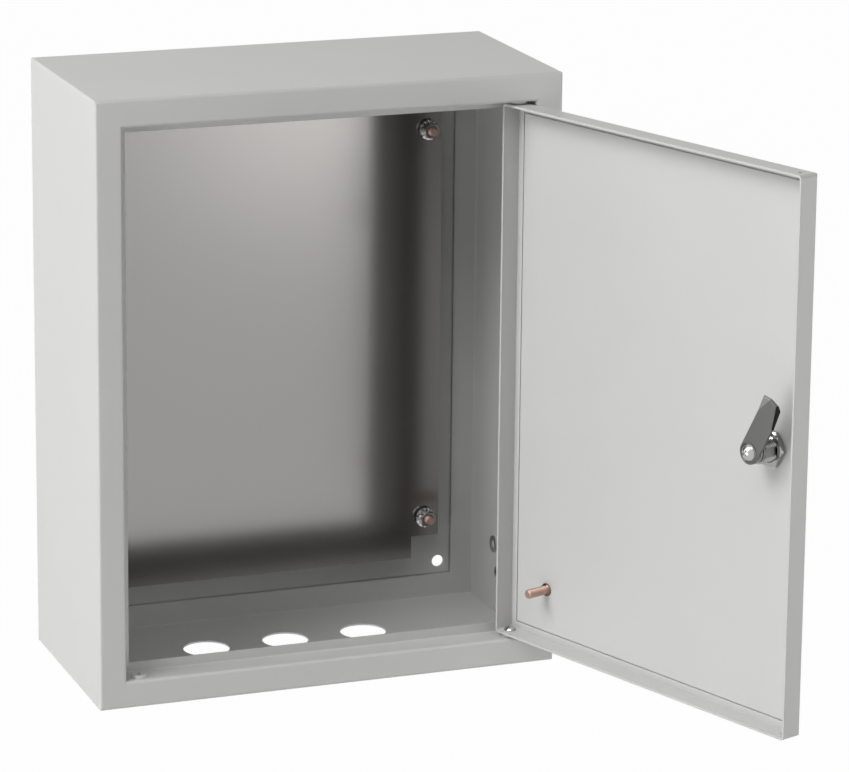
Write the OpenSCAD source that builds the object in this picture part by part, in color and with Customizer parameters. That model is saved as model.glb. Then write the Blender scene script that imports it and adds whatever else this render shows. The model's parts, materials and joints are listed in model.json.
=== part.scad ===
// Steel wall enclosure with an inset hinged door, a cam lock and a mounting plate.
//
// Frame: the origin is the centre of the four wall fixings on the back plane,
// +X is to the right of somebody facing the door, +Y runs into the wall and +Z is up.
// The door is drawn shut and then swung open about its hinge, because it rests open.

/* [Body] */
// Width of the body
body_w = 310; // [280:1:400]
// Height of the body
body_h = 395; // [370:1:500]
// Depth of the body
body_d = 150; // [120:1:200]
// Thickness of the body sheet
sheet_t = 1.2; // [1:0.1:1.5]
// Outside radius of the folds
fold_r = 2; // [1.8:0.1:2.4]

/* [Front frame] */
// Width of the front flange round the door opening
frame_w = 18; // [17.5:0.5:19]
// Depth of the rebate that the door shuts into
rebate_d = 17.5; // [17.5:0.5:20]
// Height of the stop lip at the bottom of the rebate
lip_h = 6.4; // [5:0.2:7]

/* [Back] */
// Width of the rear flange that the back panel is welded to
rear_flange_w = 17; // [12:0.5:20]
// Horizontal distance between the wall fixings
fixing_w = 258; // [240:1:260]
// Vertical distance between the wall fixings
fixing_h = 343; // [320:1:345]
// Diameter of the wall fixing holes
fixing_hole_d = 8.2; // [6:0.1:9]

/* [Cable entries] */
// Diameter of the entries in the floor
entry_d = 31; // [20:0.5:34]
// Distance between the centres of the entries
entry_pitch = 55; // [45:1:70]
// Distance of the entries from the wall
entry_back = 57; // [45:1:70]

/* [Door] */
// Gap between the door and the opening, at the left and at the right
side_gap = 3.5; // [3.5:0.1:4]
// Gap between the door and the opening, at the top and at the bottom
end_gap = 2.3; // [2.2:0.1:3]
// Depth of the door's folded edge
door_depth = 14.3; // [12.5:0.1:14.3]
// Thickness of the door sheet
door_t = 1.5; // [1.2:0.1:1.6]
// Distance of the hinge axis from the door's front
hinge_in = 7.2; // [7:0.1:7.2]
// Distance of the hinge axis from the door's edge
hinge_side = 6.45; // [6.35:0.05:6.6]
// Angle that the door stands open at
door_open = 110; // [0:0.5:110]

/* [Lock] */
// Distance of the lock's axis from the free edge of the door
lock_in = 30.5; // [26:0.5:40]
// Height of the lock's axis above the middle of the door
lock_z = 1; // [-60:1:60]
// Angle of the cam lever from upright, towards the free edge
cam_turn = 27; // [0:1:90]
// Length of the cam lever from the lock's axis
cam_len = 40; // [35:0.5:42]
// Width of the cam lever
cam_w = 15; // [12:0.5:16]

/* [Mounting plate] */
// Width of the mounting plate
plate_w = 250; // [240:1:254]
// Height of the mounting plate
plate_h = 328; // [310:1:335]
// Distance of the plate's front face from the wall
plate_front = 12; // [10:0.5:14]
// Thickness of the mounting plate
plate_t = 1.5; // [1:0.1:2]
// Horizontal distance between the plate's studs
stud_w = 230; // [220:1:232]
// Vertical distance between the plate's studs
stud_h = 270; // [240:1:275]

/* [Hidden] */
$fn = 64;

// Colours
paint = [0.80, 0.80, 0.78];
zinc = [0.66, 0.67, 0.66];
steel = [0.72, 0.72, 0.73];
copper = [0.80, 0.56, 0.47];
black = [0.12, 0.12, 0.12];

// Cuts and holes run past the faces by this much
over = 1;

// Opening in the front frame
open_w = body_w - 2*frame_w;
open_h = body_h - 2*frame_w;

// Back panel
back_t = sheet_t;
back_margin = 1;
seam_depth = 0.6;
seam_w = 0.8;

// Folds: number of flats in a fold, and the radius inside the rebate's corner
fold_n = 5;
rebate_r = 0.8;
mitre = 30;
corner_r = 1.6;

// Door
door_w = open_w - 2*side_gap;
door_h = open_h - 2*end_gap;
door_r = 1.6;
door_corner_r = 2.5;
door_seam_in = 6.1;
door_seam_w = 0.8;
door_seam_depth = 1;

// Hinge: a shoulder screw in a drawn boss at the top and at the bottom
hinge_x = door_w/2 - hinge_side;
hinge_y = -body_d + hinge_in;
pin_d = 4;
pin_hole_d = 4.14;
pin_head_d = 8;
pin_head_h = 1.6;
pin_tail_d = 3.3;
pin_tail_l = 5;
pin_head_gap = 0.2;
boss_d = 10;
boss_top_d = 9;
boss_gap = 0.4;
boss_h = end_gap - boss_gap;
boss_bore_d = 3.4;

// Lock, from the door's front face inwards
lock_x = -door_w/2 + lock_in;
bezel_d = 25;
bezel_h = 2.6;
seal_t = 0.8;
barrel_d = 17;
barrel_flats = 15.2;
barrel_end = 15.6;
barrel_clear = 0.2;
nut_flats = 22.5;
nut_h = 4;
rotor_d = 10;
rotor_bore_d = 10.14;
rotor_face = -2.2;
square_w = 7;
cam_t = 2;
cam_depth = rebate_d + sheet_t + 0.5;
washer_d = 14.5;
key_recess_d = 5.6;
key_recess_h = 7;
key_pin_d = 3;
key_slot_l = 8;
key_slot_w = 2.2;
wing_start = 28;
wing_end = 1.2;
wing_lift = 33;
cam_screw_d = 11;
cam_screw_h = 3;

// Weld studs, nuts and the spacers behind the plate
stud_d = 6;
stud_tip = 24;
collar_d = 7.5;
collar_h = 0.8;
nut_d = 10;
nut_collar_d = 14;
nut_collar_h = 1.3;
nut_total_h = 6;
spacer_d = 12;
spacer_bore_d = 8;
plate_hole_d = 6.6;
notch_w = 19.5;
notch_h = 15.5;

// Stud for the door's earth lead
earth_x = door_w/2 - 35.3;
earth_z = -141.8;
earth_tip = 18.5;
earth_collar_d = 8;
earth_collar_h = 1.4;

// Fittings on the inside of the right wall
side_y = -44;
ring_z = -149;
ring_d = 11.5;
ring_bore_d = 6;
ring_t = 1;
rivet_z = -165.5;
rivet_y = -55;
rivet_d = 8;
rivet_h = 2.4;
rivet_bore_d = 5.4;
side_stud_y = -95;
side_stud_z = -148;
side_stud_l = 16.5;

// ---- Sheet folding -------------------------------------------------------

function left_of(d) = [-d[1], d[0]];
function turn_of(a, b) = sign(a[0]*b[1] - a[1]*b[0]);
function heading(path) = [for (i = [0:len(path) - 2])
    (path[i + 1] - path[i]) / norm(path[i + 1] - path[i])];
function reversed(l) = [for (i = [len(l) - 1:-1:0]) l[i]];

// Points of one right-angled fold at corner p, on the face that lies side to the left of the path
function fold_arc(p, d1, d2, r, side) =
    let (centre = p + (d2 - d1)*r, r_face = r - turn_of(d1, d2)*side)
    [for (i = [0:fold_n]) centre + r_face*(sin(90*i/fold_n)*d1 - cos(90*i/fold_n)*d2)];

// One face of a folded sheet: the path itself for side = 0
function sheet_face(path, radii, side) =
    let (d = heading(path), last = len(path) - 1)
    concat([path[0] + left_of(d[0])*side],
           [for (i = [1:last - 1]) each fold_arc(path[i], d[i - 1], d[i], radii[i - 1], side)],
           [path[last] + left_of(d[last - 1])*side]);

// Closed outline of a folded sheet of thickness t
function sheet_outline(path, radii, t) =
    concat(sheet_face(path, radii, 0), reversed(sheet_face(path, radii, t)));

// Section of a body panel: distance from the front, then distance in from the outer face.
// It runs from the stop lip along the rebate and the front flange, down the wall to the rear flange.
panel_section = sheet_outline(
    [[rebate_d, frame_w + lip_h], [rebate_d, frame_w], [0, frame_w], [0, 0],
     [body_d - back_t, 0], [body_d - back_t, rear_flange_w]],
    [rebate_r, fold_r, fold_r, fold_r], sheet_t);

// ---- Helpers -------------------------------------------------------------

// Rectangle with round corners, centred
module round_rect(w, h, r) {
    square([w - 2*r, h], center = true);
    square([w, h - 2*r], center = true);
    for (x = [-1, 1], y = [-1, 1])
        translate([x*(w/2 - r), y*(h/2 - r)])
            circle(r);
}

// Rectangle whose two corners at y = 0 are round: the section across a pan
module pan_section(w, d, r) {
    translate([-w/2, r])
        square([w, d - r]);
    translate([-w/2 + r, 0])
        square([w - 2*r, d]);
    for (x = [-1, 1])
        translate([x*(w/2 - r), r])
            circle(r);
}

// Stands a plane figure up, as seen from the front, from y = 0 to y = -depth
module upright(depth) {
    rotate([90, 0, 0])
        linear_extrude(depth)
            children();
}

// Pan-shaped solid: front face at y = 0, open towards +Y
module pan_solid(w, h, d, r, corner_r) {
    intersection() {
        translate([0, d, 0])
            upright(d)
                round_rect(w, h, corner_r);
        translate([0, 0, -h/2])
            linear_extrude(h)
                pan_section(w, d, r);
        rotate([0, 90, 0])
            translate([0, 0, -w/2])
                linear_extrude(w)
                    pan_section(h, d, r);
    }
}

// One folded wall of the body, lying at the bottom, with mitred ends
module folded_wall(length, half) {
    intersection() {
        translate([-length/2, -body_d, -half])
            rotate([90, 0, 90])
                linear_extrude(length)
                    polygon(panel_section);
        upright(body_d)
            polygon([[-length/2, -half], [length/2, -half],
                     [length/2 - mitre, -half + mitre], [-length/2 + mitre, -half + mitre]]);
        rotate([0, half == body_h/2 ? 0 : 90, 0])
            upright(body_d)
                round_rect(body_w, body_h, corner_r);
    }
}

// Drawn boss for a hinge screw, standing on the rebate at height z
module hinge_boss() {
    translate([0, 0, -sheet_t/2])
        cylinder(d = boss_d, h = boss_h/2 + sheet_t/2);
    translate([0, 0, boss_h/2])
        cylinder(d1 = boss_d, d2 = boss_top_d, h = boss_h/2);
}

// Upper or lower wall, with hinge bosses at the places in boss_x.
// The hinge holes are on both sides, so that the door can hang on either.
module bossed_wall(boss_x) {
    difference() {
        union() {
            folded_wall(body_w, body_h/2);
            for (x = boss_x)
                translate([x, hinge_y, -body_h/2 + frame_w])
                    hinge_boss();
        }
        for (x = [-hinge_x, hinge_x])
            translate([x, hinge_y, -body_h/2 + frame_w - sheet_t - over])
                cylinder(d = boss_bore_d, h = sheet_t + boss_h + 2*over);
    }
}

// Places children at one corner of a rectangle on the back
module at_corner(sx, sz, w, h) {
    translate([sx*w/2, 0, sz*h/2])
        children();
}

// Turns a fitting's own +Z into the enclosure, away from the wall
module off_the_wall() {
    rotate([90, 0, 0])
        children();
}

// Swings the door and all it carries open about the hinge
module on_the_door() {
    translate([hinge_x, hinge_y, 0])
        rotate([0, 0, door_open])
            translate([-hinge_x, -hinge_y, 0])
                children();
}

// Puts a lock part on the lock's axis; its own +Z is the depth behind the door's front
module on_the_lock() {
    on_the_door()
        translate([lock_x, -body_d, lock_z])
            rotate([-90, 0, 0])
                children();
}

// Domed head with a cross recess, standing on z = 0
module domed_head(d, h) {
    rise = (d*d/4 + h*h)/(2*h);
    difference() {
        intersection() {
            cylinder(d = d, h = h);
            translate([0, 0, h - rise])
                sphere(rise);
        }
        for (a = [0, 90])
            rotate([0, 0, a])
                translate([-d*0.26, -d*0.055, h*0.45])
                    cube([d*0.52, d*0.11, h]);
    }
}

// Hexagon with its corners chamfered at both ends
module hexagon(flats, h) {
    corners = flats/cos(30);
    intersection() {
        cylinder(d = corners, h = h, $fn = 6);
        cylinder(d1 = flats, d2 = flats + 2*h, h = h);
        cylinder(d1 = flats + 2*h, d2 = flats, h = h);
    }
}

// Weld stud standing on z = 0: a collar, the shank and a chamfered tip
module weld_stud(length, foot_d, foot_h) {
    chamfer = 0.7;
    cylinder(d = foot_d, h = foot_h);
    cylinder(d = stud_d, h = length - chamfer);
    translate([0, 0, length - chamfer])
        cylinder(d1 = stud_d, d2 = stud_d - 2*chamfer, h = chamfer);
}

// ---- Body ----------------------------------------------------------------

module body_bottom() {
    color(paint)
        difference() {
            bossed_wall([-hinge_x, hinge_x]);
            for (i = [-1:1])
                translate([i*entry_pitch, -entry_back, -body_h/2 - over])
                    cylinder(d = entry_d, h = sheet_t + 2*over);
        }
}

module body_top() {
    color(paint)
        rotate([0, 180, 0])
            bossed_wall([-hinge_x]);
}

module body_left() {
    color(paint)
        rotate([0, 90, 0])
            folded_wall(body_h, body_w/2);
}

module body_right() {
    color(paint)
        rotate([0, -90, 0])
            folded_wall(body_h, body_w/2);
}

// Flat panel with the wall fixings, and a shallow seam where it meets the rear flange
module back_panel() {
    seam_outer_w = body_w - 2*rear_flange_w;
    seam_outer_h = body_h - 2*rear_flange_w;
    color(paint)
        difference() {
            upright(back_t)
                round_rect(body_w - 2*back_margin, body_h - 2*back_margin, corner_r);
            for (x = [-1, 1], z = [-1, 1])
                translate([x*fixing_w/2, over, z*fixing_h/2])
                    off_the_wall()
                        cylinder(d = fixing_hole_d, h = back_t + 2*over);
            translate([0, -back_t + seam_depth, 0])
                upright(seam_depth + over)
                    difference() {
                        square([seam_outer_w, seam_outer_h], center = true);
                        square([seam_outer_w - 2*seam_w, seam_outer_h - 2*seam_w], center = true);
                    }
        }
}

// Flat flange of a threaded insert in the right wall
module side_ring() {
    color(steel)
        translate([body_w/2 - sheet_t, side_y, ring_z])
            rotate([0, -90, 0])
                difference() {
                    cylinder(d = ring_d, h = ring_t);
                    translate([0, 0, -over])
                        cylinder(d = ring_bore_d, h = ring_t + 2*over);
                }
}

// Blind rivet nut below the ring
module side_rivet_nut() {
    floor_t = 0.6;
    color(steel)
        translate([body_w/2 - sheet_t, rivet_y, rivet_z])
            rotate([0, -90, 0])
                difference() {
                    cylinder(d = rivet_d, h = rivet_h);
                    translate([0, 0, floor_t])
                        cylinder(d = rivet_bore_d, h = rivet_h);
                }
}

// Stud for the body's earth lead, on the inside of the right wall
module body_earth_stud() {
    color(copper)
        translate([body_w/2 - sheet_t, side_stud_y, side_stud_z])
            rotate([0, -90, 0])
                weld_stud(side_stud_l, collar_d, collar_h);
}

// ---- Mounting plate ------------------------------------------------------

module mounting_plate() {
    color(zinc)
        translate([0, -plate_front + plate_t, 0])
            upright(plate_t)
                difference() {
                    square([plate_w, plate_h], center = true);
                    for (x = [-1, 1], z = [-1, 1]) {
                        translate([x*plate_w/2, z*plate_h/2])
                            square([2*notch_w, 2*notch_h], center = true);
                        translate([x*stud_w/2, z*stud_h/2])
                            circle(d = plate_hole_d);
                    }
                }
}

module plate_stud(sx, sz) {
    color(copper)
        at_corner(sx, sz, stud_w, stud_h)
            translate([0, -back_t, 0])
                off_the_wall()
                    weld_stud(stud_tip - back_t, collar_d, collar_h);
}

module plate_spacer(sx, sz) {
    length = plate_front - plate_t - back_t;
    color(steel)
        at_corner(sx, sz, stud_w, stud_h)
            translate([0, -back_t, 0])
                off_the_wall()
                    difference() {
                        cylinder(d = spacer_d, h = length);
                        translate([0, 0, -over])
                            cylinder(d = spacer_bore_d, h = length + 2*over);
                    }
}

module plate_nut(sx, sz) {
    bore_d = stud_d + 0.1;
    color(steel)
        at_corner(sx, sz, stud_w, stud_h)
            translate([0, -plate_front, 0])
                off_the_wall()
                    difference() {
                        union() {
                            cylinder(d1 = nut_collar_d, d2 = nut_collar_d - 1, h = nut_collar_h);
                            hexagon(nut_d, nut_total_h);
                        }
                        translate([0, 0, -over])
                            cylinder(d = bore_d, h = nut_total_h + 2*over);
                    }
}

module stud_top_left() { plate_stud(-1, 1); }
module stud_top_right() { plate_stud(1, 1); }
module stud_bottom_left() { plate_stud(-1, -1); }
module stud_bottom_right() { plate_stud(1, -1); }
module spacer_top_left() { plate_spacer(-1, 1); }
module spacer_top_right() { plate_spacer(1, 1); }
module spacer_bottom_left() { plate_spacer(-1, -1); }
module spacer_bottom_right() { plate_spacer(1, -1); }
module nut_top_left() { plate_nut(-1, 1); }
module nut_top_right() { plate_nut(1, 1); }
module nut_bottom_left() { plate_nut(-1, -1); }
module nut_bottom_right() { plate_nut(1, -1); }

// ---- Hinges --------------------------------------------------------------

// Shoulder screw: the tail sits in the boss, the shoulder stands on it and carries the door
module hinge_screw() {
    shoulder = boss_gap + door_t + pin_head_gap;
    color(steel) {
        translate([0, 0, -pin_tail_l])
            cylinder(d = pin_tail_d, h = pin_tail_l);
        cylinder(d = pin_d, h = shoulder);
        translate([0, 0, shoulder])
            domed_head(pin_head_d, pin_head_h);
    }
}

module hinge_screw_lower() {
    translate([hinge_x, hinge_y, -open_h/2 + boss_h])
        hinge_screw();
}

module hinge_screw_upper() {
    mirror([0, 0, 1])
        hinge_screw_lower();
}

// ---- Door ----------------------------------------------------------------

// Folded pan with a crease all round its inside face
module door_pan() {
    crease_w = door_w - 2*door_seam_in;
    crease_h = door_h - 2*door_seam_in;
    color(paint)
        on_the_door()
            translate([0, -body_d, 0])
                difference() {
                    pan_solid(door_w, door_h, door_depth, door_r, door_corner_r);
                    translate([0, door_t, 0])
                        pan_solid(door_w - 2*door_t, door_h - 2*door_t, door_depth,
                                  door_r - door_t, door_corner_r/2);
                    translate([0, door_t + over, 0])
                        upright(door_seam_depth + over)
                            difference() {
                                square([crease_w, crease_h], center = true);
                                square([crease_w - 2*door_seam_w, crease_h - 2*door_seam_w],
                                       center = true);
                            }
                    for (x = [-hinge_x, hinge_x], z = [-1, 1])
                        translate([x, hinge_in, z*(door_h - door_t)/2])
                            cylinder(d = pin_hole_d, h = door_t + 2*over, center = true);
                    translate([lock_x, door_t + over, lock_z])
                        upright(door_t + 2*over)
                            circle(d = barrel_d + barrel_clear);
                }
}

module door_earth_stud() {
    color(copper)
        on_the_door()
            translate([earth_x, -body_d + door_t, earth_z])
                rotate([-90, 0, 0])
                    weld_stud(earth_tip - door_t, earth_collar_d, earth_collar_h);
}

// ---- Lock ----------------------------------------------------------------

// Barrel with its bezel outside the door and two flats down its sides
module lock_barrel() {
    color(steel)
        on_the_lock()
            difference() {
                union() {
                    translate([0, 0, -seal_t - bezel_h])
                        cylinder(d1 = bezel_d - 3, d2 = bezel_d, h = bezel_h);
                    translate([0, 0, -seal_t])
                        intersection() {
                            cylinder(d = barrel_d, h = seal_t + barrel_end);
                            translate([-barrel_flats/2, -barrel_d, 0])
                                cube([barrel_flats, 2*barrel_d, seal_t + barrel_end]);
                        }
                }
                translate([0, 0, -seal_t - bezel_h - over])
                    cylinder(d = rotor_bore_d, h = bezel_h + barrel_end + 3*over);
            }
}

module lock_seal() {
    color(black)
        on_the_lock()
            translate([0, 0, -seal_t])
                difference() {
                    cylinder(d = bezel_d - 1, h = seal_t);
                    translate([0, 0, -over])
                        cylinder(d = barrel_d + barrel_clear, h = seal_t + 2*over);
                }
}

module lock_nut() {
    color(steel)
        on_the_lock()
            translate([0, 0, door_t])
                difference() {
                    hexagon(nut_flats, nut_h);
                    translate([0, 0, -over])
                        cylinder(d = barrel_d + 0.1, h = nut_h + 2*over);
                }
}

// Rotor with a double-bit key recess and its pin in front, and a square tail for the cam
module lock_rotor() {
    color(steel)
        on_the_lock()
            difference() {
                union() {
                    translate([0, 0, rotor_face])
                        cylinder(d = rotor_d, h = barrel_end - rotor_face);
                    translate([0, 0, barrel_end])
                        rotate([0, 0, -cam_turn])
                            translate([-square_w/2, -square_w/2, 0])
                                cube([square_w, square_w, cam_depth + cam_t - barrel_end]);
                }
                translate([0, 0, rotor_face - over])
                    difference() {
                        union() {
                            cylinder(d = key_recess_d, h = key_recess_h + over);
                            translate([-key_slot_l/2, -key_slot_w/2, 0])
                                cube([key_slot_l, key_slot_w, key_recess_h + over]);
                        }
                        cylinder(d = key_pin_d, h = key_recess_h + over);
                    }
            }
}

// Stop washer between the barrel and the cam
module cam_washer() {
    groove_d = washer_d - 2.4;
    length = cam_depth - barrel_end - 0.2;
    color(steel)
        on_the_lock()
            translate([0, 0, barrel_end + 0.2])
                difference() {
                    union() {
                        cylinder(d = washer_d, h = length*0.4);
                        cylinder(d = groove_d, h = length);
                        translate([0, 0, length*0.6])
                            cylinder(d = washer_d, h = length*0.4);
                    }
                    rotate([0, 0, -cam_turn])
                        translate([-square_w/2 - 0.05, -square_w/2 - 0.05, -over])
                            cube([square_w + 0.1, square_w + 0.1, length + 2*over]);
                }
}

// One corner of the lever's tip, bent away from the door so that it slides behind the stop lip
module cam_wing() {
    run = cam_w/2 - wing_end;
    rise = cam_len - wing_start;
    slope = atan2(rise, run);
    translate([-cam_w/2, 0, wing_start])
        rotate([0, -slope, 0])
            rotate([-wing_lift, 0, 0])
                translate([0, cam_t, 0])
                    upright(cam_t)
                        polygon([[0, 0], [norm([run, rise]), 0], [rise*sin(slope), rise*cos(slope)]]);
}

// Cam lever: a flat bar with one round end, drawn upright and turned to where it rests
module cam_lever() {
    color(steel)
        on_the_door()
            translate([lock_x, -body_d + cam_depth, lock_z])
                rotate([0, -cam_turn, 0])
                    union() {
                        translate([0, cam_t, 0])
                            upright(cam_t)
                                difference() {
                                    union() {
                                        circle(d = cam_w);
                                        polygon([[-cam_w/2, 0], [cam_w/2, 0], [cam_w/2, wing_start],
                                                 [wing_end, cam_len], [-wing_end, cam_len],
                                                 [-cam_w/2, wing_start]]);
                                    }
                                    square(square_w + 0.1, center = true);
                                }
                        cam_wing();
                        mirror([1, 0, 0])
                            cam_wing();
                    }
}

module cam_screw() {
    color(steel)
        on_the_lock()
            translate([0, 0, cam_depth + cam_t])
                domed_head(cam_screw_d, cam_screw_h);
}

body_bottom();
body_top();
body_left();
body_right();
back_panel();
mounting_plate();
stud_top_left();
stud_top_right();
stud_bottom_left();
stud_bottom_right();
spacer_top_left();
spacer_top_right();
spacer_bottom_left();
spacer_bottom_right();
nut_top_left();
nut_top_right();
nut_bottom_left();
nut_bottom_right();
side_ring();
side_rivet_nut();
body_earth_stud();
hinge_screw_lower();
hinge_screw_upper();
door_pan();
door_earth_stud();
lock_barrel();
lock_seal();
lock_nut();
lock_rotor();
cam_washer();
cam_lever();
cam_screw();
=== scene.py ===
# %% [markdown]
# # A sheet-steel wall enclosure, shown with its door open
#
# The exact solids come from the CAD model. Here every solid gets the finish of its real
# material, and the small turned and threaded parts, whose detail is too fine for the CAD
# model, are made again as surfaces computed with numpy.

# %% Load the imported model
import json
import math

import bpy
import numpy as np
from mathutils import Matrix, Vector


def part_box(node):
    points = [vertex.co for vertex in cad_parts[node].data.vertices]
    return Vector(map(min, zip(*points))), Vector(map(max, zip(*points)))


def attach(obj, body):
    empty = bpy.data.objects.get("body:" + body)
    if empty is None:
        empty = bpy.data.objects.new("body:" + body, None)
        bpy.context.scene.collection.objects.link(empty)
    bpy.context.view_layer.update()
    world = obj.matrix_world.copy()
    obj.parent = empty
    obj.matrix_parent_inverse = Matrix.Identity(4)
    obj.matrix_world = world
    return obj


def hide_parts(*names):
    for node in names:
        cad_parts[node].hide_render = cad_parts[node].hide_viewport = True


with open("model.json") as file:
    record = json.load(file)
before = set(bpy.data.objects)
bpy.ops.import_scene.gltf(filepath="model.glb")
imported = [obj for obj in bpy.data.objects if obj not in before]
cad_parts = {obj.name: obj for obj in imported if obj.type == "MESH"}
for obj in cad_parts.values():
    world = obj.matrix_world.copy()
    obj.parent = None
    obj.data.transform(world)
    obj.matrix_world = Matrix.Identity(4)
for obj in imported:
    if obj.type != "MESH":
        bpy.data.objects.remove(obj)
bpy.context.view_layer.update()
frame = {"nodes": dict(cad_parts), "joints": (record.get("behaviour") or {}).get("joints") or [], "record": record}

MM = 0.001
nodes = frame["nodes"]

# %% [markdown]
# ## Where things are
#
# Every place is read from the solids, so a piece made here lands where the CAD model puts
# it. The door and its lock stand turned about the hinge, so their pieces are made in a
# frame that turns with them: x along the door, y into the enclosure, z up.


# %% Placing pieces on the door
hinge = next(j for j in frame["joints"] if j["name"] == "door_hinge")
lock = next(j for j in frame["joints"] if j["name"] == "lock_turn")
outward = Vector(lock["axis"]).normalized()
inward = -outward


def axis_frame(origin, axis, reference):
    """A matrix whose z column is the axis, and whose x column is the part of the reference
    that is square to it. Its last column is the origin."""
    z = Vector(axis).normalized()
    x = (Vector(reference) - z * z.dot(Vector(reference))).normalized()
    y = z.cross(x)
    m = Matrix.Identity(4)
    for i, column in enumerate((x, y, z, Vector(origin))):
        m.col[i][:3] = column
    return m


def turn_about(place, angle):
    """A matrix that turns about the upright line through place."""
    there = Matrix.Translation(place)
    return there @ Matrix.Rotation(angle, 4, "Z") @ there.inverted()


door_angle = math.atan2(outward.x, -outward.y)
door_swing = turn_about(Vector(hinge["pos_m"]), door_angle)
print("the door stands open at", round(math.degrees(door_angle), 1), "degrees")

# %% [markdown]
# ## The camera
#
# A long lens far away keeps the box's edges nearly parallel. The camera stands to the left
# and above, and leans by half a degree. The picture is cut from the lens's field a little off
# its middle, which the shift gives.

# %% Camera
CAMERA_AT = Vector((-856.1, -2606.9, 724.2)) * MM
AZIMUTH, ELEVATION, ROLL = (math.radians(a) for a in (-20.73, 14.28, 0.63))
LENS_MM, SENSOR_MM = 180.01, 36.0
SHIFT_X, SHIFT_Y = -0.0203, -0.1040

camera_data = bpy.data.cameras.new("camera")
camera_data.lens = LENS_MM
camera_data.sensor_width = SENSOR_MM
camera_data.sensor_fit = "HORIZONTAL"
camera_data.shift_x = SHIFT_X
camera_data.shift_y = SHIFT_Y
camera_data.clip_end = 100
camera = bpy.data.objects.new("camera", camera_data)
back = Vector((math.sin(AZIMUTH) * math.cos(ELEVATION),
               -math.cos(AZIMUTH) * math.cos(ELEVATION), math.sin(ELEVATION)))
level = Vector((math.cos(AZIMUTH), math.sin(AZIMUTH), 0))
side = level * math.cos(ROLL) + back.cross(level) * math.sin(ROLL)
camera.matrix_world = axis_frame(CAMERA_AT, back, side)
bpy.context.scene.collection.objects.link(camera)
bpy.context.scene.camera = camera
bpy.context.scene.view_settings.view_transform = "Standard"
print("camera", round(LENS_MM), "mm,", round(CAMERA_AT.length, 2), "m away")


# %% [markdown]
# ## Colours and shader nodes
#
# Colours are written as sRGB hex values, and one function turns them to the linear values
# that shaders use. One helper adds a shader node with its settings and its links, so that
# each material below reads as a short list of what it is made of.


# %% Colour and node helpers
def linear(hex_colour):
    """sRGB hex to linear RGBA: c/12.92 below 0.04045, else ((c + 0.055)/1.055)^2.4."""
    srgb = [int(hex_colour[i:i + 2], 16) / 255 for i in (1, 3, 5)]
    rgb = [c / 12.92 if c <= 0.04045 else ((c + 0.055) / 1.055) ** 2.4 for c in srgb]
    return (*rgb, 1.0)


def add(tree, kind, links=None, **settings):
    """Adds a shader node. settings go to its properties, or to its input sockets, where an
    underscore stands for a space; links names the sockets that others feed."""
    node = tree.nodes.new(kind)
    for name, value in settings.items():
        socket = name.replace("_", " ")
        if hasattr(node, name):
            setattr(node, name, value)
        else:
            node.inputs[socket].default_value = value
    for name, source in (links or {}).items():
        tree.links.new(source, node.inputs[name])
    return node


def new_material(name):
    """An empty node material, with its tree, its output node and its Object coordinates."""
    material = bpy.data.materials.new(name)
    material.use_nodes = True
    tree = material.node_tree
    tree.nodes.clear()
    output = add(tree, "ShaderNodeOutputMaterial")
    place = add(tree, "ShaderNodeTexCoord").outputs["Object"]
    return material, tree, output, place


print("mid grey #808080 is", round(linear("#808080")[0], 3), "in linear light")

# %% [markdown]
# ## Powder coat
#
# The box and the door are powder coated: a plastic powder is sprayed on charged steel and
# melted. It gives an even, light grey, satin skin with faint ripples like orange peel, about
# a millimetre across and a few microns deep. Its gloss is that of a plastic, so it is not
# metallic. It also softens every edge, so a Bevel node rounds the normals over half a
# millimetre, and the folds catch a fine line of light.


# %% Powder coat
def powder_coat():
    """Grey polyester powder: a base colour with a faint cloud in it, and a bump of orange peel."""
    material, tree, output, place = new_material("powder_coat_light_grey")
    cloud = add(tree, "ShaderNodeTexNoise", {"Vector": place}, Scale=1 / (60 * MM), Detail=2)
    colour = add(tree, "ShaderNodeMix", {"Factor": cloud.outputs["Fac"]}, data_type="RGBA")
    colour.inputs["A"].default_value = linear("#CACAC8")
    colour.inputs["B"].default_value = linear("#CECECD")
    peel = add(tree, "ShaderNodeTexNoise", {"Vector": place}, Scale=1 / (1.2 * MM), Detail=1)
    rounded = add(tree, "ShaderNodeBevel", Radius=0.5 * MM, samples=4)
    bump = add(tree, "ShaderNodeBump",
               {"Height": peel.outputs["Fac"], "Normal": rounded.outputs["Normal"]},
               Strength=0.25, Distance=0.01 * MM)
    coat = add(tree, "ShaderNodeBsdfPrincipled",
               {"Base Color": colour.outputs["Result"], "Normal": bump.outputs["Normal"]},
               Roughness=0.42, IOR=1.5)
    tree.links.new(coat.outputs["BSDF"], output.inputs["Surface"])
    return material


materials = {"powder_coat": powder_coat()}
print("made", materials["powder_coat"].name)
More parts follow.
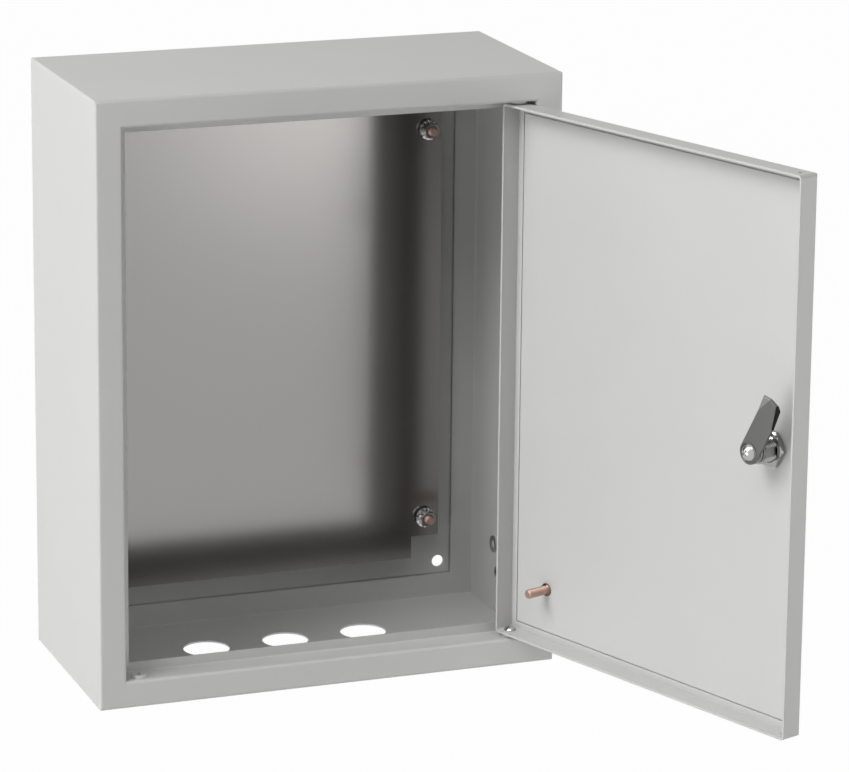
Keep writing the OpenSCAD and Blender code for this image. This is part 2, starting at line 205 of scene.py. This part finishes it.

# %% [markdown]
# ## Bare and plated metals
#
# The mounting plate is galvanised sheet, so it is metallic, and rough enough to blur what it
# mirrors: the light of the room on the left, and the dark of the box on the right and below.
# Its grain is broad and very faint. The fasteners are bright zinc and the lock is a nickel
# plated casting. The studs are copper plated for welding, and dull, because the copper has
# tarnished; the flash of the weld is browner still. The cam is dull zinc plated strip. Its
# two folded corners get copies of the same zinc painted lighter and near black: a painted
# highlight on one and painted shade on the other.


# %% Metals
def metal(name, hex_colour, roughness, grain_mm=(8, 8, 8), grain=0.03, bump_um=2):
    """A metal: its colour, and a stretched noise that changes its roughness and its bump."""
    material, tree, output, place = new_material(name)
    stretch = add(tree, "ShaderNodeMapping", {"Vector": place}, vector_type="POINT")
    stretch.inputs["Scale"].default_value = [1 / (g * MM) for g in grain_mm]
    noise = add(tree, "ShaderNodeTexNoise", {"Vector": stretch.outputs["Vector"]},
                Scale=1, Detail=3)
    rough = add(tree, "ShaderNodeMapRange", {"Value": noise.outputs["Fac"]})
    rough.inputs["To Min"].default_value = roughness - grain
    rough.inputs["To Max"].default_value = roughness + grain
    bump = add(tree, "ShaderNodeBump", {"Height": noise.outputs["Fac"]},
               Strength=0.2, Distance=bump_um * MM * MM)
    shader = add(tree, "ShaderNodeBsdfPrincipled",
                 {"Roughness": rough.outputs["Result"], "Normal": bump.outputs["Normal"]},
                 Metallic=1.0, Base_Color=linear(hex_colour))
    tree.links.new(shader.outputs["BSDF"], output.inputs["Surface"])
    return material


materials["galvanised_plate"] = metal("galvanised_steel_sheet", "#979593", 0.17,
                                      grain_mm=(25, 25, 40), grain=0.008, bump_um=0.05)
materials["zinc_plated_fixing"] = metal("bright_zinc_plate", "#B4B4B3", 0.17)
materials["nickel_plated_lock"] = metal("nickel_plated_casting", "#A3A3A1", 0.2)
materials["copper_plated_stud"] = metal("copper_plated_steel", "#B4988E", 0.52)
materials["weld_flash"] = metal("copper_weld_flash", "#7E6A60", 0.25)
materials["zinc_plated_cam"] = metal("dull_zinc_plated_strip", "#70706F", 0.3)
# The cam's zinc again, painted lighter as a painted highlight and near black as painted shade, for its two folded
# corners.
materials["cam_painted_highlight"] = metal("zinc_strip_painted_highlight", "#929290", 0.3)
materials["cam_painted_shade"] = metal("zinc_strip_painted_shade", "#262625", 0.3)
print("made", len(materials) - 1, "metals")


# %% Rubber
def rubber():
    """Black nitrile rubber: dark, dull, with a fine moulded grain."""
    material, tree, output, place = new_material("black_rubber")
    grain = add(tree, "ShaderNodeTexNoise", {"Vector": place}, Scale=1 / (0.4 * MM), Detail=2)
    bump = add(tree, "ShaderNodeBump", {"Height": grain.outputs["Fac"]},
               Strength=0.3, Distance=0.02 * MM)
    shader = add(tree, "ShaderNodeBsdfPrincipled", {"Normal": bump.outputs["Normal"]},
                 Base_Color=linear("#1E1E1E"), Roughness=0.7, IOR=1.5)
    tree.links.new(shader.outputs["BSDF"], output.inputs["Surface"])
    return material


materials["rubber_seal"] = rubber()
print("made", materials["rubber_seal"].name)

# %% [markdown]
# Each CAD node takes the material of its slot in the model's record.

# %% Give every CAD node its material
slot_of = {part["node"]: part["material_slot"] for part in frame["record"]["subparts"]}
for name, node in nodes.items():
    node.data.materials.clear()
    node.data.materials.append(materials[slot_of[name]])
print("dressed", len(nodes), "nodes")

# %% [markdown]
# ## One welded shell
#
# The real body is folded from sheet and welded at its corners, and the welds are ground
# flush before it is coated, so its front flange shows no joints. The CAD model keeps four
# folded walls that meet at mitres. Their meshes are copied here, the faces on the mitres are
# left out and the rest is merged, which makes one shell with the same folds, holes and bosses.
#
# A mitre is the plane where |x| less |z| is the half width less the half height. A triangle
# lies in it when its three corners do and its normal leans as much to x as to z. The second
# test is needed because the flat front has triangles whose corners are all on mitre lines.


# %% Weld the four walls
def node_triangles(name):
    """A CAD node's triangles as an array (triangles, 3 corners, xyz), in metres."""
    mesh = nodes[name].data
    mesh.calc_loop_triangles()
    place = np.empty(len(mesh.vertices) * 3)
    mesh.vertices.foreach_get("co", place)
    corner = np.empty(len(mesh.loop_triangles) * 3, dtype=np.int32)
    mesh.loop_triangles.foreach_get("vertices", corner)
    return place.reshape(-1, 3)[corner].reshape(-1, 3, 3)


def add_piece(name, points, faces, slot, body, *replaced):
    """Makes a mesh object from points in metres, gives it the slot's material and lets it ride."""
    mesh = bpy.data.meshes.new(name)
    mesh.from_pydata(np.asarray(points).tolist(), [], faces)
    mesh.update()
    mesh.materials.append(materials[slot])
    piece = bpy.data.objects.new(name, mesh)
    bpy.context.scene.collection.objects.link(piece)
    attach(piece, body)
    if replaced:
        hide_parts(*replaced)
    return piece


WALLS = ("body_bottom", "body_top", "body_left", "body_right")
NEAR = 0.002 * MM
half_w = max(abs(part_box("body_left")[0][0]), abs(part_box("body_right")[1][0]))
half_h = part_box("body_top")[1][2]
walls = np.concatenate([node_triangles(name) for name in WALLS])
off_mitre = np.abs(np.abs(walls[..., 0]) - np.abs(walls[..., 2]) - half_w + half_h)
normal = np.abs(np.cross(walls[:, 1] - walls[:, 0], walls[:, 2] - walls[:, 0]))
slanted = ((np.abs(normal[:, 0] - normal[:, 2]) < 0.01 * normal.sum(axis=1))
           & (normal[:, 1] < 0.01 * normal[:, 0]))
on_mitre = (off_mitre < NEAR).all(axis=1) & slanted

corners = walls[~on_mitre].reshape(-1, 3)
_, first, where = np.unique(np.round(corners / NEAR).astype(np.int64), axis=0,
                            return_index=True, return_inverse=True)
faces = where.reshape(-1, 3)
faces = faces[(faces != np.roll(faces, 1, axis=1)).all(axis=1)]
add_piece("welded_shell", corners[first], faces.tolist(), "powder_coat", "enclosure", *WALLS)
edges = np.sort(np.concatenate([faces[:, [0, 1]], faces[:, [1, 2]], faces[:, [2, 0]]]), axis=1)
edge_use = np.unique(edges, axis=0, return_counts=True)[1]
print("left out", int(on_mitre.sum()), "mitre triangles; edges not shared by two faces:",
      int((edge_use != 2).sum()))

# %% [markdown]
# ## Turned, hexagonal and threaded parts
#
# Fasteners are bodies of revolution, or nearly so. Each is a grid of points: rings along the
# axis, and points round each ring. A ring's radius may change with the angle, which gives a
# hexagon, the flats of a barrel, the teeth of a lock washer, or a thread, whose ridge climbs
# one pitch for each turn.


# %% Rings of points made into a mesh
def ring_faces(rings, sides, closed):
    """Quads between neighbouring rings. A closed profile joins the last ring to the first;
    an open one has a flat face over each end."""
    i, j = np.meshgrid(np.arange(rings if closed else rings - 1), np.arange(sides), indexing="ij")
    up, on = (i + 1) % rings, (j + 1) % sides
    quads = np.stack([i * sides + j, i * sides + on, up * sides + on, up * sides + j], axis=-1)
    foot, top = range(sides), range((rings - 1) * sides, rings * sides)
    ends = [] if closed else [list(foot)[::-1], list(top)]
    return quads.reshape(-1, 4).tolist() + ends


def round_piece(name, radius, height, place, slot, body, *replaced, closed=False):
    """A piece on an axis. radius and height are arrays (rings, sides) in millimetres; a point
    is at (radius cos angle, radius sin angle, height) in the frame place."""
    rings, sides = radius.shape
    angle = np.arange(sides) * 2 * np.pi / sides
    local = np.stack([radius * np.cos(angle), radius * np.sin(angle), height,
                      np.ones_like(radius) / MM], axis=-1)
    points = local.reshape(-1, 4) * MM @ np.array(place).T
    return add_piece(name, points[:, :3], ring_faces(rings, sides, closed), slot, body, *replaced)


def turned(profile, sides=64):
    """Radius and height arrays of a plain turned form, from its (radius, height) profile."""
    profile = np.array(profile, dtype=float)
    return (np.repeat(profile[:, :1], sides, axis=1), np.repeat(profile[:, 1:], sides, axis=1))


def hexagon_radius(flats, sides):
    """Distance from the axis to the side of a hexagon: half the width across flats over the
    cosine of the angle from the nearest flat's middle."""
    angle = np.arange(sides) * 2 * np.pi / sides
    return flats / 2 / np.cos((angle + np.pi / 6) % (np.pi / 3) - np.pi / 6)


def threaded(start, end, major, pitch, foot=(), tip=0.7, sides=40, steps=8, depth=0.61):
    """A thread from start to end along the axis, above an optional plain foot. The radius
    falls from the crest by a depth in pitches times a triangle wave of (height/pitch -
    angle/turn). The depth fades in over the first pitch, and a cone cuts the tip."""
    height = np.arange(start, end + 1e-6, pitch / steps)[:, None] * np.ones((1, sides))
    turn = np.arange(sides)[None, :] / sides
    wave = 2 * np.abs((height / pitch - turn) % 1 - 0.5)
    deep = depth * pitch * np.clip((height - start) / pitch, 0, 1)
    radius = major / 2 - deep * np.clip(wave * 1.3 - 0.15, 0, 1)
    radius = np.minimum(radius, major / 2 - tip + (end - height))
    if len(foot):
        foot_radius, foot_height = turned(foot, sides)
        radius = np.concatenate([foot_radius, radius])
        height = np.concatenate([foot_height, height])
    return radius, height


over_corners = 2 * float(hexagon_radius(10, 360).max())
print("a 10 mm hexagon is", round(over_corners, 2), "mm over its corners")

# %% [markdown]
# ## Studs
#
# Four M6 studs carry the mounting plate, and one more stands on the door and one on the
# right wall for the earth leads. They are weld studs: copper plated steel with a small
# flange at the foot, and a real 1 mm thread on each. The one on the door has no flange, but a
# ring of flash where the arc melted it on.

# %% Weld studs
FROM_WALL = Vector((0, -1, 0))
STUD_FOOT = [(3.7, 0), (3.7, 0.8), (3.0, 1.1)]
stud_names = [name for name in nodes if name.startswith("stud_")]
for name in stud_names:
    b0, b1 = (Vector(c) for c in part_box(name))
    foot_at = Vector(((b0.x + b1.x) / 2, b1.y, (b0.z + b1.z) / 2))
    round_piece("threaded_" + name, *threaded(1.2, (b1.y - b0.y) / MM, 6, 1, STUD_FOOT),
                axis_frame(foot_at, FROM_WALL, (1, 0, 0)), "copper_plated_stud", "enclosure", name)

b0, b1 = (Vector(c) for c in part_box("body_earth_stud"))
round_piece("threaded_body_earth_stud", *threaded(1.4, (b1.x - b0.x) / MM, 6, 1, STUD_FOOT),
            axis_frame((b1.x, (b0.y + b1.y) / 2, (b0.z + b1.z) / 2), (-1, 0, 0), (0, 0, 1)),
            "copper_plated_stud", "enclosure", "body_earth_stud")
print("threaded", len(stud_names) + 1, "studs on the body")

# %% The door's earth stud
earth_mount = next(m for m in frame["record"]["mounts"] if m["name"] == "earth_stud")
earth_points = node_triangles("door_earth_stud").reshape(-1, 3)
along = (earth_points - np.array(earth_mount["pos_m"])) @ np.array(inward)
earth_foot = Vector(earth_mount["pos_m"]) + inward * along.min()
earth_length = (along.max() - along.min()) / MM
earth_frame = axis_frame(earth_foot, inward, (0, 0, 1))
round_piece("threaded_door_stud", *threaded(1.6, earth_length, 6, 1, [(2.9, 0), (2.9, 1.2)]),
            earth_frame, "copper_plated_stud", "door", "door_earth_stud")
weld_ring = [(2.8, 0), (4.3, 0), (4.3, 0.7), (4.0, 1.3), (3.5, 1.7), (3.1, 1.6), (2.8, 1.2)]
weld = round_piece("door_stud_weld_ring", *turned(weld_ring, 48), earth_frame,
                   "copper_plated_stud", "door", closed=True)
weld.data.materials[0] = materials["weld_flash"]
print("the door's stud is", round(earth_length, 1), "mm long")

# %% [markdown]
# ## Nuts and lock washers on the plate
#
# Each stud has a thick plain washer, a wider toothed lock washer and a hexagon nut. The lock
# washer's teeth are twisted, so the light catches each of them: its height runs in a saw tooth
# round the rim and is even at the bore.


# %% Nut stacks
def lock_washer(inner, outer, thickness, teeth, sides=168):
    """A toothed washer: between the bore and the rim the height gains a saw tooth of the
    angle, up to half the thickness at the rim, and the rim is cut back between the teeth."""
    share = np.array([0, 0, 0.45, 0.8, 1, 1, 0.8, 0.45])[:, None]
    level = np.array([0, 1, 1, 1, 1, 0, 0, 0])[:, None]
    saw = (np.arange(sides)[None, :] * teeth / sides) % 1
    cut = np.where(saw > 0.75, 0.55, 1.0)
    radius = inner + (outer - inner) * np.clip(share, 0, 0.45 + 0.55 * cut)
    height = thickness * (0.25 + level * 0.5) + (saw - 0.5) * share * thickness * 0.9
    return radius[::-1], height[::-1]


def nut(flats, bore, low, high, sides=72):
    """A hexagon nut: its section runs down the bore, out along the foot, up the sides and
    over a chamfer, where the radius is no more than a cone's."""
    edge = hexagon_radius(flats, sides)[None, :]
    chamfer = (high - low) * 0.16
    cone = flats / 2 + np.array([-0.1, 0.6, flats / 2, flats / 2, 0.6, -0.1])[:, None]
    outside = np.minimum(edge, cone)
    rise = [low, low + chamfer, low + 2 * chamfer, high - 2 * chamfer, high - chamfer, high]
    bore_in = np.full((1, sides), bore / 2)
    radius = np.concatenate([bore_in, outside, bore_in + 0.5, bore_in])
    rise = np.concatenate([[low], rise, [high, high - 0.5]])
    return radius, np.repeat(rise[:, None], sides, axis=1)


NUT_TURN = 0.3
PLAIN_TOP = 2.1
PLAIN_WASHER = [(3.3, 0), (5.2, 0), (5.5, 0.3), (5.5, 1.8), (5.2, PLAIN_TOP), (3.3, PLAIN_TOP)]
for name in [n for n in nodes if n.startswith("nut_")]:
    b0, b1 = (Vector(c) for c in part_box(name))
    seat = axis_frame(((b0.x + b1.x) / 2, b1.y, (b0.z + b1.z) / 2), FROM_WALL,
                      (math.cos(NUT_TURN), 0, math.sin(NUT_TURN)))
    on_plain = seat @ Matrix.Translation((0, 0, PLAIN_TOP * MM))
    round_piece(name.replace("nut", "hexagon"), *nut(10, 6.1, 3.6, 8.8), seat,
                "zinc_plated_fixing", "enclosure", name, closed=True)
    round_piece(name.replace("nut", "lock_washer"), *lock_washer(3.4, 6.9, 1.4, 14), on_plain,
                "zinc_plated_fixing", "enclosure", closed=True)
    round_piece(name.replace("nut", "plain_washer"), *turned(PLAIN_WASHER), seat,
                "zinc_plated_fixing", "enclosure", closed=True)
print("stacked the nuts and washers on", len(stud_names), "studs")

# %% [markdown]
# ## Domed heads with a cross recess
#
# The hinge screws and the cam's screw have pan heads. The top is a dome, whose height falls
# slowly near the axis and faster towards the rim, less a recess wherever a point is close to
# one of two crossed lines. The recess gets shallower outwards, as the driver's point is tapered.


# %% Cross-recessed heads
def cross_head(diameter, rise, cross, depth, collar=0.0, sides=96):
    """Dome: height = rise (1 - (r/R)^2.4). Recess: depth times a smooth step that is 1 within
    the cross's arms, which are a sixth of its size wide, and 0 outside them."""
    edge = diameter / 2
    share = np.concatenate([np.linspace(0.015, 0.97, 46), [0.985, 1.0]])[:, None]
    angle = np.arange(sides)[None, :] * 2 * np.pi / sides
    radius = share * edge * np.ones((1, sides))
    x, y = np.abs(radius * np.cos(angle)), np.abs(radius * np.sin(angle))
    reach, half_arm = cross / 2, cross / 12
    arm = np.minimum(np.maximum(x / reach, y / half_arm), np.maximum(y / reach, x / half_arm))
    inside = np.clip((1.15 - arm) / 0.3, 0, 1)
    taper = 1 - 0.55 * np.clip(radius / reach, 0, 1)
    height = collar + rise * (1 - share ** 2.4) - depth * inside * taper
    wall_radius = np.full((1, sides), edge)
    return (np.concatenate([wall_radius, radius[::-1]]),
            np.concatenate([np.zeros((1, sides)), height[::-1]]))


for name in ("hinge_screw_lower", "hinge_screw_upper"):
    b0, b1 = (Vector(c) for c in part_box(name))
    lower = name.endswith("lower")
    head_at = Vector((hinge["pos_m"][0], hinge["pos_m"][1], b1.z if lower else b0.z))
    upward = Vector((0, 0, 1 if lower else -1))
    seat = axis_frame(head_at - upward * 1.6 * MM, upward, (0.8, 0.6, 0))
    round_piece(name + "_head", *cross_head(8, 2.3, 4.2, 0.8, 0.2), seat,
                "zinc_plated_fixing", "enclosure", name)
    length = (b1.z - b0.z) / MM
    shank = [(1.5, 1.6 - length), (1.65, 1.8 - length), (1.65, 6.6 - length),
             (2.0, 6.6 - length), (2.0, 0.05)]
    round_piece(name + "_shank", *turned(shank, 32), seat, "zinc_plated_fixing", "enclosure")
print("made two hinge screws, heads 8 mm across")

# %% [markdown]
# ## The lock
#
# Seen from inside, a cam lock is a stack on one axis: the big nut against the door, the
# threaded barrel with its end rim, two stop washers with a gap between them, the cam, and
# the screw that holds it. Its places are taken from the CAD model with the door closed, and
# turned to where the door stands.

# %% Places on the lock
lock_closed = door_swing.inverted() @ Vector(lock["pos_m"])
lock_frame = door_swing @ axis_frame(lock_closed, (0, 1, 0), (0, 0, 1))


def depth_of(name):
    """How far a door node reaches along the lock's axis, from the door's front, in mm."""
    reach = (node_triangles(name).reshape(-1, 3) - np.array(lock["pos_m"])) @ np.array(inward) / MM
    return float(reach.min()), float(reach.max())


for name in ("lock_nut", "lock_barrel", "cam_washer", "cam_lever", "cam_screw"):
    print(name, "from", [round(v, 2) for v in depth_of(name)])

# %% Lock nut and stop washers
nut_low, nut_high = depth_of("lock_nut")
round_piece("lock_ring_nut", *nut(22.5, 17.1, nut_low, nut_high, 144), lock_frame,
            "nickel_plated_lock", "door", "lock_nut", closed=True)
washer_low, washer_high = depth_of("cam_washer")
gap = (washer_high - washer_low) / 5
gap_low, gap_high = washer_low + 2 * gap, washer_low + 3 * gap
washer_profile = [(3.6, washer_low), (7.0, washer_low), (7.25, washer_low + 0.2),
                  (7.25, gap_low - 0.2), (7.0, gap_low), (5.2, gap_low),
                  (5.2, gap_high), (7.0, gap_high), (7.25, gap_high + 0.2),
                  (7.25, washer_high - 0.2), (7.0, washer_high), (3.6, washer_high)]
round_piece("stop_washers", *turned(washer_profile, 72), lock_frame,
            "nickel_plated_lock", "lock_rotor", "cam_washer", closed=True)
print("nut", round(nut_high - nut_low, 2), "mm thick, washer gap", round(gap, 2), "mm")

# %% [markdown]
# The barrel is a turned body with a thread and two flats, so that it cannot turn in the
# door's hole. On a flat the distance to the axis is half the width across flats over the
# cosine of the angle, and the smaller of that and the thread's radius is the surface.

# %% Threaded barrel with flats
barrel_low, barrel_high = depth_of("lock_barrel")
SIDES, BORE_RADIUS, ACROSS_FLATS, RIM_H = 96, 5.07, 15.2, 1.4
thread = threaded(-0.8, barrel_high - RIM_H, 17, 1.5, tip=0, sides=SIDES, depth=0.4)
angle = np.arange(SIDES) * 2 * np.pi / SIDES
flat_radius = ACROSS_FLATS / 2 / np.maximum(np.abs(np.sin(angle)), 1e-3)
bezel = turned([(BORE_RADIUS, barrel_low), (10.6, barrel_low), (11.6, barrel_low + 0.5),
                (12.5, barrel_low + 2.2), (12.5, barrel_low + 2.6)], SIDES)
rim = turned([(7.6, barrel_high - RIM_H), (7.6, barrel_high - 1.0), (8.2, barrel_high - 0.9),
              (8.2, barrel_high - 0.2), (8.0, barrel_high), (BORE_RADIUS, barrel_high)], SIDES)
barrel_radius = np.concatenate([bezel[0], np.minimum(thread[0], flat_radius),
                                np.minimum(rim[0], flat_radius)])
barrel_height = np.concatenate([bezel[1], thread[1], rim[1]])
round_piece("threaded_barrel", barrel_radius, barrel_height, lock_frame,
            "nickel_plated_lock", "door", "lock_barrel", closed=True)
print("barrel from", round(barrel_low, 1), "to", round(barrel_high, 1),
      "mm behind the door's front")

# %% [markdown]
# The cam is cut from 2 mm strip. Its end is round about the lock's axis, and both corners of
# its tip are folded away from the door, so that it slides behind the stop lip. Folding turns
# a corner about the fold line: its distance from the line is shared between the plane and
# the height, by the cosine and the sine of the fold. Solidify gives the strip its thickness
# and Bevel breaks its edges. The first folded corner carries a painted highlight, the strip's
# zinc painted lighter, and the second painted shade, the same zinc painted near black.


# %% Cam lever
def folded(corner, start, end, turn):
    """Where a corner goes when it is folded by turn about the line from start to end."""
    line = (end - start) / np.linalg.norm(end - start)
    foot = start + line * ((corner - start) @ line)
    away = corner - foot
    return np.array([*(foot + away * math.cos(turn)), np.linalg.norm(away) * math.sin(turn)])


CAM_TURN, TIP_FOLD = math.radians(29), math.radians(30)
CAM_LENGTH, HALF_WIDTH, STRIP = 40.4, 7.6, 2
cam_low = depth_of("cam_lever")[0]
arc = np.linspace(math.pi / 2, 3 * math.pi / 2, 33)[:, None]
round_end = np.hstack([HALF_WIDTH * np.cos(arc), HALF_WIDTH * np.sin(arc)])
tip = np.array([(25, -HALF_WIDTH), (CAM_LENGTH, -3), (CAM_LENGTH, 3), (28, HALF_WIDTH)])
outline = np.vstack([tip, round_end])
flat_part = np.hstack([outline, np.zeros((len(outline), 1))])
wing_left = folded(np.array([CAM_LENGTH, HALF_WIDTH]), tip[3], tip[2], TIP_FOLD)
wing_right = folded(np.array([CAM_LENGTH, -HALF_WIDTH]), tip[0], tip[1], TIP_FOLD)
cam_points = np.vstack([flat_part, wing_left, wing_right]) + [0, 0, cam_low + STRIP]
n = len(outline)
cam_place = lock_frame @ Matrix.Rotation(-CAM_TURN, 4, "Z")
world_points = (np.hstack([cam_points, np.full((n + 2, 1), 1 / MM)]) * MM) @ np.array(cam_place).T
cam = add_piece("cam_strip", world_points[:, :3], [tuple(range(n)), (3, 2, n), (1, 0, n + 1)],
                "zinc_plated_cam", "lock_rotor", "cam_lever")
# Painted highlight on the first folded corner and painted shade on the second: lighter and near black copies of
# the cam's zinc.
for finish in ("cam_painted_highlight", "cam_painted_shade"):
    cam.data.materials.append(materials[finish])
cam.data.polygons.foreach_set("material_index", [0, 1, 2])
thickness = cam.modifiers.new("thickness", "SOLIDIFY")
thickness.thickness, thickness.offset, thickness.use_even_offset = STRIP * MM, -1, True
broken = cam.modifiers.new("edges", "BEVEL")
broken.width, broken.segments, broken.angle_limit = 0.25 * MM, 2, math.radians(40)
print("cam", round(float(np.linalg.norm(tip[1]))), "mm long, tip corners lifted",
      round(float(wing_left[2]), 1), "mm")

# %% Cam screw and its washer
screw_low = depth_of("cam_screw")[0]
round_piece("cam_screw_head", *cross_head(10.6, 3.2, 4.6, 1.0, 0.4),
            cam_place @ Matrix.Translation((0, 0, screw_low * MM)),
            "zinc_plated_fixing", "lock_rotor", "cam_screw")
dish = [(5.8, screw_low), (6.3, screw_low), (6.5, screw_low + 0.2), (6.4, screw_low + 0.5),
        (6.1, screw_low + 0.6), (5.9, screw_low + 0.4)]
round_piece("cam_screw_washer", *turned(dish, 72), lock_frame,
            "zinc_plated_cam", "lock_rotor", closed=True)
print("screw head 10.6 mm across in a dished washer")

# %% [markdown]
# ## Light and floor
#
# Six large softboxes stand round the box, as in a small product studio. Most of the light
# comes from the left, high up: it falls on the left side, the top, the inside of the door and
# the mounting plate. The two on the right are weak and only lift the front. The box hangs on
# a wall, so the floor is far below. Seen by the camera, or mirrored in a glossy surface, the
# floor and the world are white. For scattered light the world is black and the floor a plain
# pale grey, so that the white ground doesn't wash out the shading.


# %% Seen and unseen light
def seen_factor(tree):
    """1 for rays from the camera, from glossy surfaces and through clear ones, else 0."""
    path = add(tree, "ShaderNodeLightPath")
    first = add(tree, "ShaderNodeMath", operation="MAXIMUM")
    tree.links.new(path.outputs["Is Camera Ray"], first.inputs[0])
    tree.links.new(path.outputs["Is Glossy Ray"], first.inputs[1])
    both = add(tree, "ShaderNodeMath", operation="MAXIMUM")
    tree.links.new(first.outputs[0], both.inputs[0])
    tree.links.new(path.outputs["Is Transmission Ray"], both.inputs[1])
    return both.outputs[0]


WORLD_STRENGTH = 0.0
world = bpy.data.worlds.new("studio")
bpy.context.scene.world = world
world.use_nodes = True
world.node_tree.nodes.clear()
room = add(world.node_tree, "ShaderNodeBackground", Strength=WORLD_STRENGTH, Color=(1, 1, 1, 1))
white = add(world.node_tree, "ShaderNodeBackground", Strength=1.0, Color=(1, 1, 1, 1))
mix = add(world.node_tree, "ShaderNodeMixShader")
world.node_tree.links.new(seen_factor(world.node_tree), mix.inputs[0])
world.node_tree.links.new(room.outputs[0], mix.inputs[1])
world.node_tree.links.new(white.outputs[0], mix.inputs[2])
world_output = add(world.node_tree, "ShaderNodeOutputWorld")
world.node_tree.links.new(mix.outputs[0], world_output.inputs["Surface"])
print("world strength", WORLD_STRENGTH)


# %% Softboxes
def softbox(name, place, aim, size, power):
    """A square area light at place, its face turned to aim. All in metres, power in watts."""
    data = bpy.data.lights.new(name, "AREA")
    data.shape = "SQUARE"
    data.size = size
    data.energy = power
    light = bpy.data.objects.new(name, data)
    light.matrix_world = axis_frame(place, Vector(place) - Vector(aim), (1, 0.1, 0))
    bpy.context.scene.collection.objects.link(light)


BOX_MIDDLE = (0, -0.075, 0)
SOFTBOXES = [
    ("high_left", (-1.9, -0.8, 2.0), 1.6, 60),
    ("low_left", (-2.4, -0.9, -0.6), 1.6, 28),
    ("back_left", (-2.6, 0.9, 0.7), 1.8, 13),
    ("low_right", (2.4, -1.6, -0.3), 1.6, 21),
    ("front_right", (1.6, -2.7, 0.15), 1.6, 10),
    ("high_front", (-0.3, -1.6, 2.4), 1.2, 9),
]
for box_name, place, size, power in SOFTBOXES:
    softbox(box_name + "_softbox", place, BOX_MIDDLE, size, power)
print(len(SOFTBOXES), "softboxes")

# %% Floor
# The floor seen is nearly all glow, and what is left of its plain shading shows the shadow.
FLOOR_Z, FLOOR_GLOW = -1.1, 0.985
floor_mesh = bpy.data.meshes.new("floor")
floor_corners = [(-12, -8, FLOOR_Z), (12, -8, FLOOR_Z), (12, 16, FLOOR_Z), (-12, 16, FLOOR_Z)]
floor_mesh.from_pydata(floor_corners, [], [(0, 1, 2, 3)])
floor = bpy.data.objects.new("floor", floor_mesh)
bpy.context.scene.collection.objects.link(floor)
floor_material, tree, output, place = new_material("pale_floor")
plain = add(tree, "ShaderNodeBsdfDiffuse", Color=linear("#E6E6E6"))
shine = add(tree, "ShaderNodeEmission", Color=(1, 1, 1, 1), Strength=1.0)
part_seen = add(tree, "ShaderNodeMath", operation="MULTIPLY")
tree.links.new(seen_factor(tree), part_seen.inputs[0])
part_seen.inputs[1].default_value = FLOOR_GLOW
floor_mix = add(tree, "ShaderNodeMixShader")
tree.links.new(part_seen.outputs[0], floor_mix.inputs[0])
tree.links.new(plain.outputs[0], floor_mix.inputs[1])
tree.links.new(shine.outputs[0], floor_mix.inputs[2])
tree.links.new(floor_mix.outputs[0], output.inputs["Surface"])
floor_mesh.materials.append(floor_material)
print("floor", FLOOR_Z, "m below the wall fixings")
